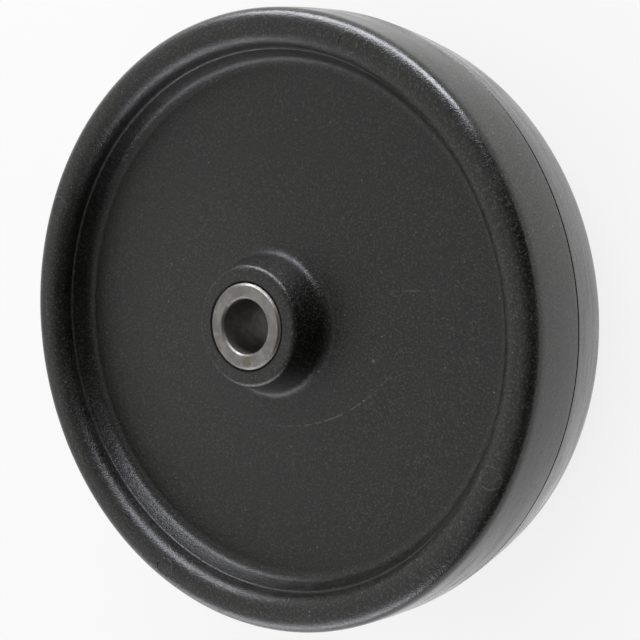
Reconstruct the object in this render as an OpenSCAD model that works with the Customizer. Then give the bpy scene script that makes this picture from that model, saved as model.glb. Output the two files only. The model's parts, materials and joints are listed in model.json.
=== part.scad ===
// Guide roller of a mower deck: a black moulded wheel with a plain steel bush fixed in its hub.
// The axle lies along Z through the origin, and the two mould halves met at Z = 0.
// The smooth outer face is up. The inner face, which turns to the deck, is down and ribbed.

/* [Rim] */
// Diameter of the tread at the mould's parting line
wheel_d = 146; // [136:0.5:170]
// Width of the rim between its two faces
rim_w = 34; // [30:0.5:44]
// Slope of the tread beside the parting line, in degrees
tread_draft = 3.5; // [1:0.25:5]
// Extra fall of the crowned tread, measured out to the width of the rim
tread_crown = 0.8; // [0:0.05:1.5]
// Radius of the outer corners of the rim
corner_r = 3.6; // [1.5:0.1:5]
// Width of the parting groove round the tread
groove_w = 0.5; // [0.2:0.05:1.2]
// Depth of the parting groove round the tread
groove_depth = 0.35; // [0.1:0.05:0.8]
// Radial thickness of the rim at its faces
rim_t = 9.7; // [7:0.1:13]
// Radius of the inner lips of the rim
lip_r = 2; // [0.8:0.1:2.6]
// Draft of the recess walls, in degrees
wall_draft = 1.5; // [0.5:0.25:4]

/* [Web] */
// Thickness of the disc between the hub and the rim
web_t = 6; // [4:0.25:8]
// Depth of the outer recess, from the rim's face to the web
recess_depth = 9.2; // [7:0.1:11]
// Width of the ledge where the web's mould insert met the rim's
ledge_w = 0.45; // [0.2:0.05:0.8]
// Depth of that ledge below the rim's face
ledge_depth = 4.9; // [3:0.1:5.4]
// Rise of the web's outer face from its edge to the hub
web_dish = 0.5; // [0:0.05:1]
// Radius of the fillet between the web and the rim
web_fillet = 3.6; // [1:0.1:4]

/* [Hub] */
// Radius of the hub boss at its ends
hub_r = 13.9; // [12.5:0.1:15]
// Taper of the hub boss, in degrees
hub_taper = 14; // [4:0.5:16]
// Radius of the rounded edge at the hub's ends
hub_edge_r = 1.4; // [0.5:0.1:2]
// Radius of the fillet between the hub and the web
hub_fillet = 1.8; // [0.8:0.1:3]
// Width and depth of the bevel at the mouths of the hub's hole
hub_bevel = 0.5; // [0.2:0.05:1]

/* [Ribs] */
// Number of ribs on the inner face
rib_count = 8; // [5:1:10]
// Thickness of a rib at its crest
rib_t = 3.6; // [2.5:0.1:5]
// Draft of a rib's sides, in degrees
rib_draft = 1.5; // [0.5:0.25:3]
// Depth of the rib crests below the rim's inner face
rib_drop = 4; // [2.5:0.25:8]
// Radius of the fillets between a rib and the web
rib_fillet = 1.5; // [0.5:0.1:3]

/* [Ejector marks] */
// Number of ejector pin marks round the outer face of the rim
pin_count = 4; // [2:1:8]
// Diameter of an ejector pin mark
pin_d = 4.8; // [3:0.1:6]
// Depth of an ejector pin mark
pin_depth = 0.15; // [0.1:0.05:0.4]
// Distance of the marks' centres from the edge of the recess
pin_inset = 4.1; // [3.5:0.1:6]
// Direction of the first mark from +X, in degrees
pin_turn = 63; // [0:1:90]

/* [Bush] */
// Diameter of the bore that runs on the axle bolt
bore_d = 12.8; // [10:0.1:15]
// Outside diameter of the bush
bush_d = 20; // [17.5:0.1:22]
// Length of the bush
bush_len = 37; // [33:0.5:48]
// Radial gap between the bush and the hole it is fixed in
bush_fit = 0.01; // [0:0.01:0.1]
// How far each end of the bush stands out of the hub
bush_proud = 0.4; // [0.1:0.05:1.5]
// Width and depth of the bevels on the bush's outer edges
bush_bevel = 0.6; // [0.2:0.05:1]
// Width and depth of the bevels at the bore's mouths
bore_bevel = 0.5; // [0.2:0.05:1]

/* [Hidden] */
$fn = 96;
// Steps in each rounded corner of a profile
ARC_STEPS = 8;
// Steps along the crowned tread
TREAD_STEPS = 6;
// Length by which a cutter or a rib reaches past the surface it must cross
OVERLAP = 1;

wheel_r = wheel_d / 2;
rim_z = rim_w / 2;
recess_r = wheel_r - rim_t;
web_edge_z = rim_z - recess_depth;
web_hub_z = web_edge_z + web_dish;
web_back_z = web_edge_z - web_t;
ledge_z = rim_z - ledge_depth;
hub_end_z = bush_len / 2 - bush_proud;
rib_crest_z = -rim_z + rib_drop;
hub_hole_r = bush_d / 2 + bush_fit;

// Points on an arc about c, from one angle to another
function arc(c, r, from, to) =
    [for (i = [0:ARC_STEPS]) let (a = from + (to - from) * i / ARC_STEPS) c + r * [cos(a), sin(a)]];

// The same outline seen in the parting plane, in the reverse order
function mirrored(points) =
    [for (i = [len(points) - 1:-1:0]) [points[i].x, -points[i].y]];

// Radius and slope of the crowned tread at a height above the parting plane
function tread_r(z) =
    wheel_r - (z - groove_w / 2) * tan(tread_draft) - tread_crown * pow((z - groove_w / 2) / rim_z, 2);
function tread_slope(z) = atan(tan(tread_draft) + 2 * tread_crown * (z - groove_w / 2) / pow(rim_z, 2));

// Radius of the drafted wall inside the rim, and of the tapered hub
function wall_r(z) = recess_r - (rim_z - z) * tan(wall_draft);
function hub_side_r(z) = hub_r + (hub_end_z - z) * tan(hub_taper);

// One half of the tread, from the parting groove over the corner on to the rim's face
function tread_half() =
    let (
        slope = tread_slope(rim_z - corner_r),
        end_z = rim_z - corner_r * (1 - sin(slope)),
        centre = [tread_r(end_z) - corner_r * cos(slope), rim_z - corner_r],
        start_z = groove_w / 2
    )
    concat(
        [[wheel_r - groove_depth, 0]],
        [for (i = [0:TREAD_STEPS - 1])
            let (z = start_z + (end_z - start_z) * i / TREAD_STEPS) [tread_r(z), z]],
        arc(centre, corner_r, slope, 90)
    );

// The rounded inner lip of the rim, from its face to the drafted wall
function lip() =
    let (
        end_z = rim_z - lip_r * (1 - sin(wall_draft)),
        centre = [wall_r(end_z) + lip_r * cos(wall_draft), rim_z - lip_r]
    )
    arc(centre, lip_r, 90, 180 - wall_draft);

// The hollow corner where a level or sloping face meets a wall on its outer side
function hollow_corner(wall_radius, face_z, radius) =
    arc([wall_radius - radius, face_z + radius], radius, 0, -90);

// Half of the hub, from the foot of its side over the rounded edge into the hole's bevel
function hub_half(foot_z) =
    let (
        foot_turn = 90 - hub_taper,
        foot_centre = [
            hub_side_r(foot_z + hub_fillet * (1 - sin(hub_taper))) + hub_fillet * cos(hub_taper),
            foot_z + hub_fillet
        ],
        edge_centre = [
            hub_side_r(hub_end_z - hub_edge_r * (1 - sin(hub_taper))) - hub_edge_r * cos(hub_taper),
            hub_end_z - hub_edge_r
        ]
    )
    concat(
        arc(foot_centre, hub_fillet, -90, -90 - foot_turn),
        arc(edge_centre, hub_edge_r, hub_taper, 90),
        [[hub_hole_r + hub_bevel, hub_end_z], [hub_hole_r, hub_end_z - hub_bevel]]
    );

// Section of the wheel on the outer side of the parting plane
function outer_half() = concat(
    tread_half(),
    lip(),
    [[wall_r(ledge_z), ledge_z]],
    [[wall_r(ledge_z) - ledge_w, ledge_z]],
    hollow_corner(wall_r(ledge_z) - ledge_w, web_edge_z, web_fillet),
    hub_half(web_hub_z)
);

// Section of the wheel on the inner side, up to the back of the web
function inner_half() = concat(
    tread_half(),
    lip(),
    hollow_corner(wall_r(-web_back_z), -web_back_z, web_fillet),
    hub_half(-web_back_z)
);

// Section of a rib across its length, with its crest up and a fillet at each foot
module rib_section(height) {
    crest = rib_t / 2;
    foot = crest + height * tan(rib_draft);
    flare = arc([foot + rib_fillet, rib_fillet], rib_fillet, 180 - rib_draft, 270);
    side = concat([[0, height], [crest, height]], flare, [[foot + rib_fillet, -OVERLAP], [0, -OVERLAP]]);
    polygon(side);
    mirror([1, 0]) polygon(side);
}

// The ribs on the inner face, each running from inside the hub's wall into the rim
module ribs() {
    from_r = (hub_hole_r + hub_r) / 2;
    to_r = recess_r + rim_t / 3;
    for (i = [0:rib_count - 1])
        rotate([0, 0, (i + 0.5) * 360 / rib_count])
            translate([from_r, 0, web_back_z])
                rotate([-90, 0, -90])
                    linear_extrude(to_r - from_r)
                        rib_section(web_back_z - rib_crest_z);
}

// The faint flat-bottomed marks that the ejector pins left on the rim's outer face
module ejector_marks() {
    for (i = [0:pin_count - 1])
        rotate([0, 0, pin_turn + i * 360 / pin_count])
            translate([recess_r + pin_inset, 0, rim_z - pin_depth])
                cylinder(h = pin_depth + OVERLAP, d = pin_d, $fn = 48);
}

// The moulded wheel: rim, web, hub and ribs in one piece
module roller_body() {
    color([0.13, 0.13, 0.12])
    difference() {
        union() {
            rotate_extrude() polygon(concat(mirrored(inner_half()), outer_half()));
            ribs();
        }
        ejector_marks();
    }
}

// The plain steel bush fixed in the hub, with a bevel on each edge
module axle_bush() {
    outer = bush_d / 2;
    inner = bore_d / 2;
    end = bush_len / 2;
    half = [
        [outer, end - bush_bevel],
        [outer - bush_bevel, end],
        [inner + bore_bevel, end],
        [inner, end - bore_bevel]
    ];
    color([0.66, 0.65, 0.63])
        rotate_extrude() polygon(concat(mirrored(half), half));
}

roller_body();
axle_bush();
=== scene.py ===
import json
import math

import bmesh
import bpy
from mathutils import Matrix, Vector


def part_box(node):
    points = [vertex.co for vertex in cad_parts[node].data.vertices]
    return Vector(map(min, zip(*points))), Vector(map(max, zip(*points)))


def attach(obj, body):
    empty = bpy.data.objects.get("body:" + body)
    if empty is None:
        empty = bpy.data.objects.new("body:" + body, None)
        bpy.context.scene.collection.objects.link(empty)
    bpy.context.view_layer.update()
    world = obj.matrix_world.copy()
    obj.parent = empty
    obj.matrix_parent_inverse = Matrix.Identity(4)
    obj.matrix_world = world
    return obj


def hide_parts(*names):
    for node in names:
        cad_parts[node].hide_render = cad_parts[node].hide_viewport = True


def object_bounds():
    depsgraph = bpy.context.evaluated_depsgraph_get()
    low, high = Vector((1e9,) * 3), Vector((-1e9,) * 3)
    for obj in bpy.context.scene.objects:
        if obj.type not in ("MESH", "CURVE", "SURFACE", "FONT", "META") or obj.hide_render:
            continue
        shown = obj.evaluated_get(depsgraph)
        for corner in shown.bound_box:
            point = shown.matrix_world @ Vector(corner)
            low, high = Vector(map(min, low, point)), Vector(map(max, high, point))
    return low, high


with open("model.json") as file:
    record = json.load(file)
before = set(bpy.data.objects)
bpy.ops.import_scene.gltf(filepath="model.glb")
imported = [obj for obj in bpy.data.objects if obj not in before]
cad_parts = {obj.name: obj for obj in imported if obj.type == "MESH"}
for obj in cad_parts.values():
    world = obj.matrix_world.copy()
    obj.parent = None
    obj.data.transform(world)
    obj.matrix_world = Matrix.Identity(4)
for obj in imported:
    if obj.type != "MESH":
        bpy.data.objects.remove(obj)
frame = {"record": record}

MM = 0.001
cad_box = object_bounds()


# The camera.
# It looks down on the outer face from beside the rim, about 35 degrees off the axle, and is rolled
# until the wheel seems to stand upright. Its place and lens come from the ellipses in the photograph.
PHOTO_PX = 640
FOCAL_PX = 1200
SENSOR_MM = 36
CAMERA_AZIMUTH = math.radians(96.72)
CAMERA_ELEVATION = math.radians(54.50)
CAMERA_ROLL = math.radians(-98.24)
CAMERA_DEPTH = 288.2 * MM
CAMERA_SIDE = 6.6 * MM

towards_camera = Vector((
    math.sin(CAMERA_AZIMUTH) * math.cos(CAMERA_ELEVATION),
    -math.cos(CAMERA_AZIMUTH) * math.cos(CAMERA_ELEVATION),
    math.sin(CAMERA_ELEVATION),
))
level = Vector((math.cos(CAMERA_AZIMUTH), math.sin(CAMERA_AZIMUTH), 0))
camera_right = Matrix.Rotation(CAMERA_ROLL, 3, towards_camera) @ level
camera_up = towards_camera.cross(camera_right)

camera_data = bpy.data.cameras.new("camera")
camera_data.sensor_width = SENSOR_MM
camera_data.lens = SENSOR_MM * FOCAL_PX / PHOTO_PX
camera_data.clip_start = 0.01
camera = bpy.data.objects.new("camera", camera_data)
camera_axes = Matrix((camera_right, camera_up, towards_camera)).transposed()
camera_place = towards_camera * CAMERA_DEPTH + camera_right * CAMERA_SIDE
camera.matrix_world = Matrix.Translation(camera_place) @ camera_axes.to_4x4()
bpy.context.scene.collection.objects.link(camera)
bpy.context.scene.camera = camera


# The moulded wheel: tread, rim, web, hub and ribs in one piece.
# It is injection moulded in black nylon between two mould halves, which met at the middle of the tread.
# The outer recess has a ledge where the web's insert met the rim's, and four ejector pins marked the rim.
# The rim's inner lips are broadly rounded, and below the ledge the wall leans in towards the web.
wheel_low, wheel_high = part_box("roller_body")
wheel_r = wheel_high.x / MM
hub_end_z = wheel_high.z / MM
bush_low, bush_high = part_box("axle_bush")
hub_hole_r = bush_high.x / MM + 0.01

rim_z = 17
tread_draft = math.radians(3.5)
tread_crown = 0.8
corner_r = 3.6
groove_w = 0.5
groove_depth = 0.35
groove_edge_r = 0.08
recess_r = wheel_r - 9.7
lip_r = 3.9
wall_draft = math.radians(1.5)
ledge_z = rim_z - 4.9
ledge_w = 0.65
web_back_z = rim_z - 15.2
web_edge_z = rim_z - 9.8
web_hub_z = rim_z - 8.7
web_fillet = 2.8
back_fillet = 3.6
lower_draft = math.radians(22)
hub_r = 13.9
hub_taper = math.radians(14)
hub_edge_r = 1.4
hub_fillet = 2.8
hub_bevel = 0.5
rib_count = 8
rib_t = 3.6
rib_draft = math.radians(1.5)
rib_crest_z = -rim_z + 4
rib_fillet = 1.5
rib_edge_r = 0.5
pin_count = 4
pin_d = 4.8
pin_depth = 0.15
pin_ring_r = recess_r + 4.1
pin_turn = math.radians(63)
WHEEL_STEPS = 384
ARC_STEPS = 10
TREAD_STEPS = 12


def arc(centre, radius, start, end, steps=ARC_STEPS):
    """Points of a round stretch of a section, as (radius, height) in millimetres."""
    turns = [start + (end - start) * i / steps for i in range(steps + 1)]
    return [(centre[0] + radius * math.cos(t), centre[1] + radius * math.sin(t)) for t in turns]


def tread_r(z):
    out = z - groove_w / 2
    return wheel_r - out * math.tan(tread_draft) - tread_crown * (out / rim_z) ** 2


def wall_r(z):
    return recess_r - (rim_z - z) * math.tan(wall_draft)


def hub_side_r(z):
    return hub_r + (hub_end_z - z) * math.tan(hub_taper)


def tread_half():
    """From the parting groove over the crowned tread and its corner, on to the rim's face."""
    out = rim_z - corner_r - groove_w / 2
    slope = math.atan(math.tan(tread_draft) + 2 * tread_crown * out / rim_z ** 2)
    end_z = rim_z - corner_r * (1 - math.sin(slope))
    centre = (tread_r(end_z) - corner_r * math.cos(slope), rim_z - corner_r)
    start_z = groove_w / 2 + groove_edge_r
    steps = [start_z + (end_z - start_z) * i / TREAD_STEPS for i in range(TREAD_STEPS)]
    groove_edge = arc((wheel_r - groove_edge_r, start_z), groove_edge_r, math.radians(-60), 0, 3)[:-1]
    tread = [(tread_r(z), z) for z in steps]
    return [(wheel_r - groove_depth, 0)] + groove_edge + tread + arc(centre, corner_r, slope, math.pi / 2)


def lip():
    """The rounded inner edge of the rim, from its face to the recess wall."""
    end_z = rim_z - lip_r * (1 - math.sin(wall_draft))
    centre = (wall_r(end_z) + lip_r * math.cos(wall_draft), rim_z - lip_r)
    return arc(centre, lip_r, math.pi / 2, math.pi - wall_draft)


def hollow_corner(wall, wall_z, draft, face_z, radius):
    """The fillet between a level face and a wall that leans in by draft from its top at wall_z."""
    touch_z = face_z + radius * (1 - math.sin(draft))
    touch_r = wall - (wall_z - touch_z) * math.tan(draft)
    return arc((touch_r - radius * math.cos(draft), face_z + radius), radius, -draft, -math.pi / 2)


def hub_half(foot_z):
    """From the hub's foot up its tapered side, over the rounded edge and into the hole's bevel."""
    foot_mid_z = foot_z + hub_fillet * (1 - math.sin(hub_taper))
    edge_mid_z = hub_end_z - hub_edge_r * (1 - math.sin(hub_taper))
    foot_centre = (hub_side_r(foot_mid_z) + hub_fillet * math.cos(hub_taper), foot_z + hub_fillet)
    edge_centre = (hub_side_r(edge_mid_z) - hub_edge_r * math.cos(hub_taper), hub_end_z - hub_edge_r)
    foot = arc(foot_centre, hub_fillet, -math.pi / 2, -math.pi + hub_taper)
    edge = arc(edge_centre, hub_edge_r, hub_taper, math.pi / 2)
    mouth = [(hub_hole_r + hub_bevel, hub_end_z), (hub_hole_r, hub_end_z - hub_bevel)]
    return foot + edge + mouth


def revolve(name, section, steps):
    """A closed (radius, height) section in millimetres, turned about the axle into a mesh object."""
    mesh = bmesh.new()
    rings = []
    for step in range(steps):
        turn = 2 * math.pi * step / steps
        rings.append([
            mesh.verts.new((r * MM * math.cos(turn), r * MM * math.sin(turn), z * MM)) for r, z in section
        ])
    for step in range(steps):
        here, beyond = rings[step], rings[(step + 1) % steps]
        for i in range(len(section)):
            after = (i + 1) % len(section)
            mesh.faces.new((here[i], beyond[i], beyond[after], here[after]))
    bmesh.ops.recalc_face_normals(mesh, faces=mesh.faces)
    return finish_mesh(name, mesh)


def finish_mesh(name, mesh):
    data = bpy.data.meshes.new(name)
    mesh.to_mesh(data)
    mesh.free()
    piece = bpy.data.objects.new(name, data)
    bpy.context.scene.collection.objects.link(piece)
    return piece


def apply_modifiers(piece):
    applied = bpy.data.meshes.new_from_object(piece.evaluated_get(bpy.context.evaluated_depsgraph_get()))
    piece.modifiers.clear()
    piece.data = applied


def smooth(piece, sharp_degrees=32):
    for face in piece.data.polygons:
        face.use_smooth = True
    piece.data.set_sharp_from_angle(angle=math.radians(sharp_degrees))


def combine(piece, others, operation):
    """Unites others with piece, or cuts them out of it, and removes them."""
    for other in others:
        change = piece.modifiers.new(operation.lower(), "BOOLEAN")
        change.operation = operation
        change.solver = "EXACT"
        change.object = other
    apply_modifiers(piece)
    for other in others:
        bpy.data.objects.remove(other)


def rib(index):
    """One rib, as its section across the rib, swept straight out from inside the hub into the rim."""
    height = web_back_z - rib_crest_z
    crest = rib_t / 2
    foot = crest + height * math.tan(rib_draft)
    edge = arc((crest - rib_edge_r, height - rib_edge_r), rib_edge_r, math.pi / 2, rib_draft, 5)
    flare = arc((foot + rib_fillet, rib_fillet), rib_fillet, math.pi - rib_draft, 1.5 * math.pi, 8)
    half = edge + flare + [(foot + rib_fillet, -1)]
    outline = half + [(-x, y) for x, y in reversed(half)]
    from_r, to_r = (hub_hole_r + hub_r) / 2, recess_r + 3
    turn = Matrix.Rotation(2 * math.pi * (index + 0.5) / rib_count, 3, "Z")
    mesh = bmesh.new()
    ends = [
        [mesh.verts.new(turn @ Vector((r, x, web_back_z - y)) * MM) for x, y in outline]
        for r in (from_r, to_r)
    ]
    mesh.faces.new(ends[0])
    mesh.faces.new(reversed(ends[1]))
    for i in range(len(outline)):
        after = (i + 1) % len(outline)
        mesh.faces.new((ends[0][i], ends[0][after], ends[1][after], ends[1][i]))
    bmesh.ops.recalc_face_normals(mesh, faces=mesh.faces)
    return finish_mesh("rib", mesh)


def pin_mark(index):
    """The shallow disc that one ejector pin pressed into the rim's outer face."""
    turn = pin_turn + 2 * math.pi * index / pin_count
    centre = Vector((pin_ring_r * math.cos(turn), pin_ring_r * math.sin(turn), rim_z - pin_depth / 2 + 0.5))
    mesh = bmesh.new()
    bmesh.ops.create_cone(
        mesh, cap_ends=True, segments=48, radius1=pin_d / 2 * MM, radius2=pin_d / 2 * MM,
        depth=(pin_depth + 1) * MM, matrix=Matrix.Translation(centre * MM))
    return finish_mesh("pin_mark", mesh)


ledge = arc((wall_r(ledge_z), ledge_z - ledge_w), ledge_w, math.pi / 2, math.pi, 6)
outer_half = (
    tread_half() + lip() + ledge
    + hollow_corner(wall_r(ledge_z) - ledge_w, ledge_z - ledge_w, lower_draft, web_edge_z, web_fillet)
    + hub_half(web_hub_z)
)
inner_half = (
    tread_half()[1:] + lip() + hollow_corner(wall_r(0), 0, wall_draft, -web_back_z, back_fillet)
    + hub_half(-web_back_z)
)
wheel = revolve("moulded_wheel", outer_half + [(r, -z) for r, z in reversed(inner_half)], WHEEL_STEPS)
combine(wheel, [rib(i) for i in range(rib_count)], "UNION")
combine(wheel, [pin_mark(i) for i in range(pin_count)], "DIFFERENCE")
smooth(wheel)


def linear(hex_colour):
    """An sRGB hex colour as the linear colour that a shader takes."""
    parts = [int(hex_colour[i:i + 2], 16) / 255 for i in (1, 3, 5)]
    return [c / 12.92 if c <= 0.04045 else ((c + 0.055) / 1.055) ** 2.4 for c in parts] + [1]


def new_material(name):
    material = bpy.data.materials.new(name)
    material.use_nodes = True
    material.node_tree.nodes.clear()
    return material


def add(tree, kind, settings=None, inputs=None):
    """Adds a shader node with its settings; an input takes a value, or the output of another node."""
    made = tree.nodes.new("ShaderNode" + kind)
    for name, value in (settings or {}).items():
        setattr(made, name, value)
    for name, value in (inputs or {}).items():
        if isinstance(value, bpy.types.NodeSocket):
            tree.links.new(value, made.inputs[name])
        else:
            made.inputs[name].default_value = value
    return made


# Black nylon, moulded against a spark eroded mould: near black and satin, with an even fine grain.
# Clouds in its roughness and colour are the uneven skin of the moulding, and give the mottle in the sheen.
BLACK_NYLON = "#10100e"
WORN_NYLON = "#1b1b18"
GRAIN_DARK = "#050504"
GRAIN_PALE = "#3c3c36"
NYLON_IOR = 1.53
GRAIN_MM = 0.4
CLOUD_MM = 9
satin_nylon = new_material("satin_moulded_nylon")
tree = satin_nylon.node_tree
place = add(tree, "TexCoord").outputs["Object"]


def noise(size_mm, detail, distortion=0.0):
    """Noise whose cells have about the given size."""
    return add(tree, "TexNoise", inputs={
        "Vector": place, "Scale": 1 / (size_mm * MM), "Detail": detail, "Distortion": distortion,
    }).outputs["Fac"]


def ranged(value, low, high, to_low=0.0, to_high=1.0, smooth_ends=True):
    """The value's range from low to high, spread over a new range."""
    return add(tree, "MapRange", {"interpolation_type": "SMOOTHSTEP" if smooth_ends else "LINEAR"}, {
        "Value": value, "From Min": low, "From Max": high, "To Min": to_low, "To Max": to_high,
    }).outputs["Result"]


def math_node(operation, first, second=0.0):
    """One step of arithmetic on two numbers or outputs."""
    return add(tree, "Math", {"operation": operation}, {0: first, 1: second}).outputs[0]


def mixed_colour(share, first, second):
    """The first colour, with a share of the second laid over it."""
    made = add(tree, "Mix", {"data_type": "RGBA"}, {0: share})
    for socket, colour in ((6, first), (7, second)):
        if isinstance(colour, bpy.types.NodeSocket):
            tree.links.new(colour, made.inputs[socket])
        else:
            made.inputs[socket].default_value = colour
    return made.outputs[2]


def distance_to(x_mm, y_mm):
    """Distance in millimetres from a point on the outer face."""
    flat = add(tree, "VectorMath", {"operation": "MULTIPLY"}, {0: place, 1: (1 / MM, 1 / MM, 0)})
    away = add(tree, "VectorMath", {"operation": "DISTANCE"}, {0: flat.outputs[0], 1: (x_mm, y_mm, 0)})
    return away.outputs["Value"]


def line_at(value, centre, half_width):
    """One where the value is at the centre, falling to nothing at the half width."""
    off = math_node("ABSOLUTE", math_node("SUBTRACT", value, centre))
    return ranged(off, 0, half_width, 1, 0)


grain = noise(GRAIN_MM, 3)
clouds = noise(CLOUD_MM, 4, 0.6)
along = add(tree, "SeparateXYZ", inputs={"Vector": place}).outputs

# Dust and nicks: pale flecks a fifth of a millimetre wide, thickly strewn in patches and thinly elsewhere.
FLECK_CELL_MM = 1.9
PALE_FLECK = "#77776f"
flecks = add(tree, "TexVoronoi", inputs={"Vector": place, "Scale": 1 / (FLECK_CELL_MM * MM)})
chance = add(tree, "SeparateColor", inputs={"Color": flecks.outputs["Color"]}).outputs[0]
chosen = ranged(chance, 0.66, 0.95)
fleck_spot = ranged(flecks.outputs["Distance"], 0.06, 0.13, 1, 0)
strewn = ranged(clouds, 0.40, 0.60, 0.2, 1.0)
fleck_share = math_node("MULTIPLY", math_node("MULTIPLY", fleck_spot, chosen), strewn)

# Marks of handling on the web: a scuffed arc below the hub, a short rubbed streak and one chipped nick.
SCUFF_ARC = (1.9, 17.5, 41.8)
STREAK_Y = 6.9
NICK = (27.7, -8.5)
x_mm = math_node("MULTIPLY", along["X"], 1 / MM)
y_mm = math_node("MULTIPLY", along["Y"], 1 / MM)
z_mm = math_node("MULTIPLY", along["Z"], 1 / MM)
outer_side = ranged(z_mm, 6, 6.5)
broken = ranged(noise(1.2, 2), 0.40, 0.55)
scuff = line_at(distance_to(SCUFF_ARC[0], SCUFF_ARC[1]), SCUFF_ARC[2], 0.28)
scuff = math_node("MULTIPLY", scuff, line_at(x_mm, 14, 26))
scuff = math_node("MULTIPLY", scuff, ranged(y_mm, -6, -14))
streak = math_node("MULTIPLY", line_at(y_mm, STREAK_Y, 0.5), line_at(x_mm, 38.7, 9))
nick = ranged(distance_to(*NICK), 0.2, 0.55, 1, 0)
marks = math_node("MULTIPLY", math_node("ADD", scuff, math_node("MULTIPLY", streak, 0.6)), broken)
marks = math_node("MULTIPLY", math_node("ADD", marks, nick), outer_side)
pale_share = math_node("ADD", fleck_share, math_node("MULTIPLY", marks, 0.55))
for index in range(pin_count):
    turn = pin_turn + 2 * math.pi * index / pin_count
    from_pin = distance_to(pin_ring_r * math.cos(turn), pin_ring_r * math.sin(turn))
    burr = math_node("MULTIPLY", line_at(from_pin, pin_d / 2, 0.3), broken)
    burr = math_node("MULTIPLY", burr, outer_side)
    pale_share = math_node("ADD", pale_share, math_node("MULTIPLY", burr, 0.4))
pale_share = math_node("MINIMUM", pale_share, 1)

# The faint ring that the cooling web drew in on its far half.
# The tread is shinier than the faces, with dull streaks round it where the mould dragged.
FLOW_RING_R = 48.2
TREAD_SHINE_R = 69.5
DRAG_MM = 2.2
radius = distance_to(0, 0)
flow_ring = math_node("MULTIPLY", line_at(radius, FLOW_RING_R, 3.5), ranged(x_mm, 8, 40))
nylon_colour = mixed_colour(ranged(clouds, 0.3, 0.7), linear(BLACK_NYLON), linear(WORN_NYLON))
speckle = noise(GRAIN_MM * 1.2, 2)
nylon_colour = mixed_colour(ranged(speckle, 0.36, 0.50, 0.9, 0), nylon_colour, linear(GRAIN_DARK))
nylon_colour = mixed_colour(ranged(speckle, 0.52, 0.70, 0, 1), nylon_colour, linear(GRAIN_PALE))
nylon_colour = mixed_colour(pale_share, nylon_colour, linear(PALE_FLECK))
tread_share = ranged(radius, TREAD_SHINE_R, TREAD_SHINE_R + 1.5)
roughness = ranged(clouds, 0.3, 0.7, 0.29, 0.37)
drawn = add(tree, "VectorMath", {"operation": "MULTIPLY"}, {0: place, 1: (0.12, 0.12, 1)}).outputs[0]
drag = add(tree, "TexNoise", inputs={"Vector": drawn, "Scale": 1 / (DRAG_MM * MM), "Detail": 3})
tread_shine = ranged(drag.outputs["Fac"], 0.35, 0.65, 0.20, 0.09)
roughness = math_node("SUBTRACT", roughness, math_node("MULTIPLY", tread_share, tread_shine))
roughness = math_node("ADD", roughness, math_node("MULTIPLY", ranged(grain, 0.3, 0.7), 0.08))
flow_ring = math_node("MULTIPLY", flow_ring, outer_side)
roughness = math_node("SUBTRACT", roughness, math_node("MULTIPLY", flow_ring, 0.06))
relief = math_node("ADD", grain, math_node("MULTIPLY", noise(GRAIN_MM * 3, 2), 0.8))
relief = math_node("MULTIPLY", relief, ranged(tread_share, 0, 1, 1, 0.35, False))
grain_bump = add(tree, "Bump", inputs={"Height": relief, "Strength": 1.0, "Distance": 0.10 * MM})
surface = add(tree, "BsdfPrincipled", inputs={
    "Base Color": nylon_colour, "Roughness": roughness, "IOR": NYLON_IOR,
    "Normal": grain_bump.outputs["Normal"],
})
add(tree, "OutputMaterial", inputs={"Surface": surface.outputs["BSDF"]})
wheel.data.materials.append(satin_nylon)

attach(wheel, "root")
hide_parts("roller_body")


# The bush: a plain steel tube in the hub, on which the wheel turns.
# It is cut from bar and faced in a lathe, with both edges bevelled, and stands just out of the hub.
bush_r = bush_high.x / MM
bush_end_z = bush_high.z / MM
bore_r = frame["record"]["mounts"][0]["dims"]["r_mm"]
bush_bevel = 0.6
bore_bevel = 0.5
bevel_edge_r = 0.12
BUSH_STEPS = 192


def rounded(points, radius):
    """A closed section with each corner rounded to about the radius."""
    out = []
    for before, corner, after in zip(points[-1:] + points[:-1], points, points[1:] + points[:1]):
        here = Vector(corner)
        back = (Vector(before) - here).normalized() * radius
        on = (Vector(after) - here).normalized() * radius
        for t in (0, 0.25, 0.5, 0.75, 1):
            out.append(tuple(here + back * (1 - t) ** 2 + on * t ** 2))
    return out


bush_half = [
    (bush_r, bush_end_z - bush_bevel),
    (bush_r - bush_bevel, bush_end_z),
    (bore_r + bore_bevel, bush_end_z),
    (bore_r, bush_end_z - bore_bevel),
]
bush_section = rounded(bush_half + [(r, -z) for r, z in reversed(bush_half)], bevel_edge_r)
bush = revolve("steel_bush", bush_section, BUSH_STEPS)
smooth(bush)

# Turned steel: dull grey from the fine rings of the cut, brighter on the bevels.
# A faint brown stain sits low on its face.
STEEL = "#918f8b"
DULL_STEEL = "#827f7a"
STAIN = "#6b6142"
RING_MM = 0.55
turned_steel = new_material("turned_steel")
tree = turned_steel.node_tree
place = add(tree, "TexCoord").outputs["Object"]
radius = distance_to(0, 0)
blotches = noise(2.2, 4, 0.4)
rings = math_node("SINE", math_node("MULTIPLY", radius, 2 * math.pi / RING_MM))
steel_colour = mixed_colour(ranged(blotches, 0.35, 0.65), linear(STEEL), linear(DULL_STEEL))
stain_share = ranged(distance_to(0.5, -8.4), 1.0, 3.4, 0.35, 0)
stain_share = math_node("MULTIPLY", stain_share, ranged(blotches, 0.4, 0.6))
steel_colour = mixed_colour(stain_share, steel_colour, linear(STAIN))
ring_bump = add(tree, "Bump", inputs={
    "Height": math_node("ADD", rings, math_node("MULTIPLY", noise(0.3, 3), 2)),
    "Strength": 0.8, "Distance": 0.02 * MM,
})
surface = add(tree, "BsdfPrincipled", inputs={
    "Base Color": steel_colour, "Metallic": 1, "Roughness": ranged(blotches, 0.3, 0.7, 0.48, 0.60),
    "Normal": ring_bump.outputs["Normal"],
})
add(tree, "OutputMaterial", inputs={"Surface": surface.outputs["BSDF"]})
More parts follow.
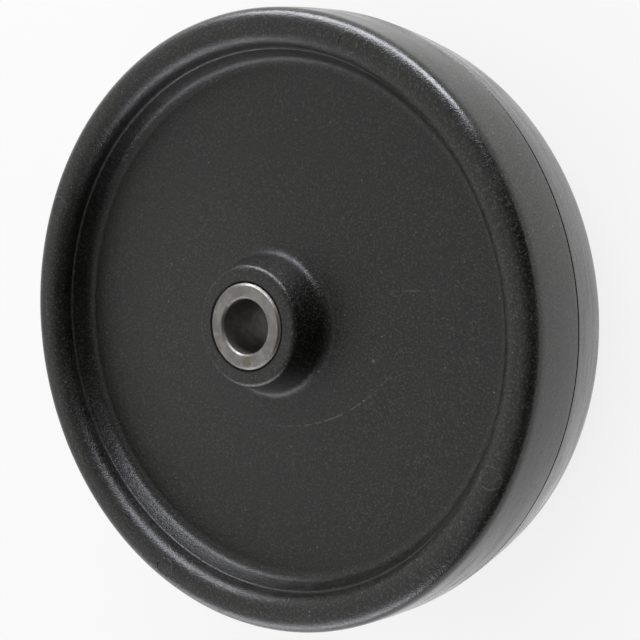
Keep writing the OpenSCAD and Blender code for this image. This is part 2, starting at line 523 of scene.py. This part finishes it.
bush.data.materials.append(turned_steel)

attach(bush, "root")
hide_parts("axle_bush")


# The floor under the wheel, and the white that stands behind it.
# The wheel rests on the end of its bush. The floor is matt and white to the camera, and keeps the shadow.
FLOOR_SIZE = 6.0
FLOOR_WHITE = "#f2f2f0"
SHOWN_WHITE_SHARE = 0.82
MIRRORED_WHITE_SHARE = 1.0
floor_mesh = bmesh.new()
bmesh.ops.create_grid(floor_mesh, x_segments=8, y_segments=8, size=FLOOR_SIZE / 2,
                      matrix=Matrix.Translation((0, 0, cad_box[0][2])))
floor = finish_mesh("floor", floor_mesh)
matt_white = new_material("matt_white_floor")
tree = matt_white.node_tree
seen = add(tree, "LightPath")
paint = add(tree, "BsdfDiffuse", inputs={"Color": linear(FLOOR_WHITE)})
glow = add(tree, "Emission", inputs={"Color": (1, 1, 1, 1), "Strength": 1})
shown = math_node("MULTIPLY", seen.outputs["Is Camera Ray"], SHOWN_WHITE_SHARE)
mirrored = math_node("MULTIPLY", seen.outputs["Is Glossy Ray"], MIRRORED_WHITE_SHARE)
share = math_node("MAXIMUM", shown, mirrored)
mixed = add(tree, "MixShader", inputs={"Fac": share, 1: paint.outputs[0], 2: glow.outputs[0]})
add(tree, "OutputMaterial", inputs={"Surface": mixed.outputs[0]})
floor.data.materials.append(matt_white)

world = bpy.data.worlds.new("white_studio")
bpy.context.scene.world = world
world.use_nodes = True
tree = world.node_tree
tree.nodes.clear()
seen = add(tree, "LightPath")
# The room is brightest past the wheel's left side, and dark on the side where the camera stands.
BRIGHT_SIDE = (-0.93, 0, 0.37)
DARK_ROOM = 0.1
BRIGHT_ROOM = 0.85
way = add(tree, "TexCoord").outputs["Generated"]
facing = add(tree, "VectorMath", {"operation": "DOT_PRODUCT"}, {0: way, 1: BRIGHT_SIDE}).outputs["Value"]
room = ranged(facing, -0.4, 1.0, DARK_ROOM, BRIGHT_ROOM)
strength = math_node("MAXIMUM", room, seen.outputs["Is Camera Ray"])
background = add(tree, "Background", inputs={"Color": (1, 1, 1, 1), "Strength": strength})
add(tree, "OutputWorld", inputs={"Surface": background.outputs[0]})


# The lamps: two long low soft boxes, the stronger one past the top of the picture.
LAMP_DISTANCE = 0.7
LAMP_TINT = (0.92, 0.93, 1.0)


def soft_box(name, azimuth, elevation, distance, width, height, watts):
    """A rectangular soft box that faces the wheel from a direction given in degrees."""
    data = bpy.data.lights.new(name, "AREA")
    data.shape = "RECTANGLE"
    data.size, data.size_y = width, height
    data.energy = watts
    data.color = LAMP_TINT
    lamp = bpy.data.objects.new(name, data)
    turn, lift = math.radians(azimuth), math.radians(elevation)
    way = Vector((math.cos(turn) * math.cos(lift), math.sin(turn) * math.cos(lift), math.sin(lift)))
    lamp.location = way * distance
    lamp.rotation_euler = way.to_track_quat("Z", "Y").to_euler()
    bpy.context.scene.collection.objects.link(lamp)
    return lamp


soft_box("upper_box", 90, 10, LAMP_DISTANCE, 0.9, 0.22, 9)
soft_box("lower_box", 246, 12, LAMP_DISTANCE, 0.7, 0.26, 3)

bpy.context.scene.view_settings.view_transform = "Standard"
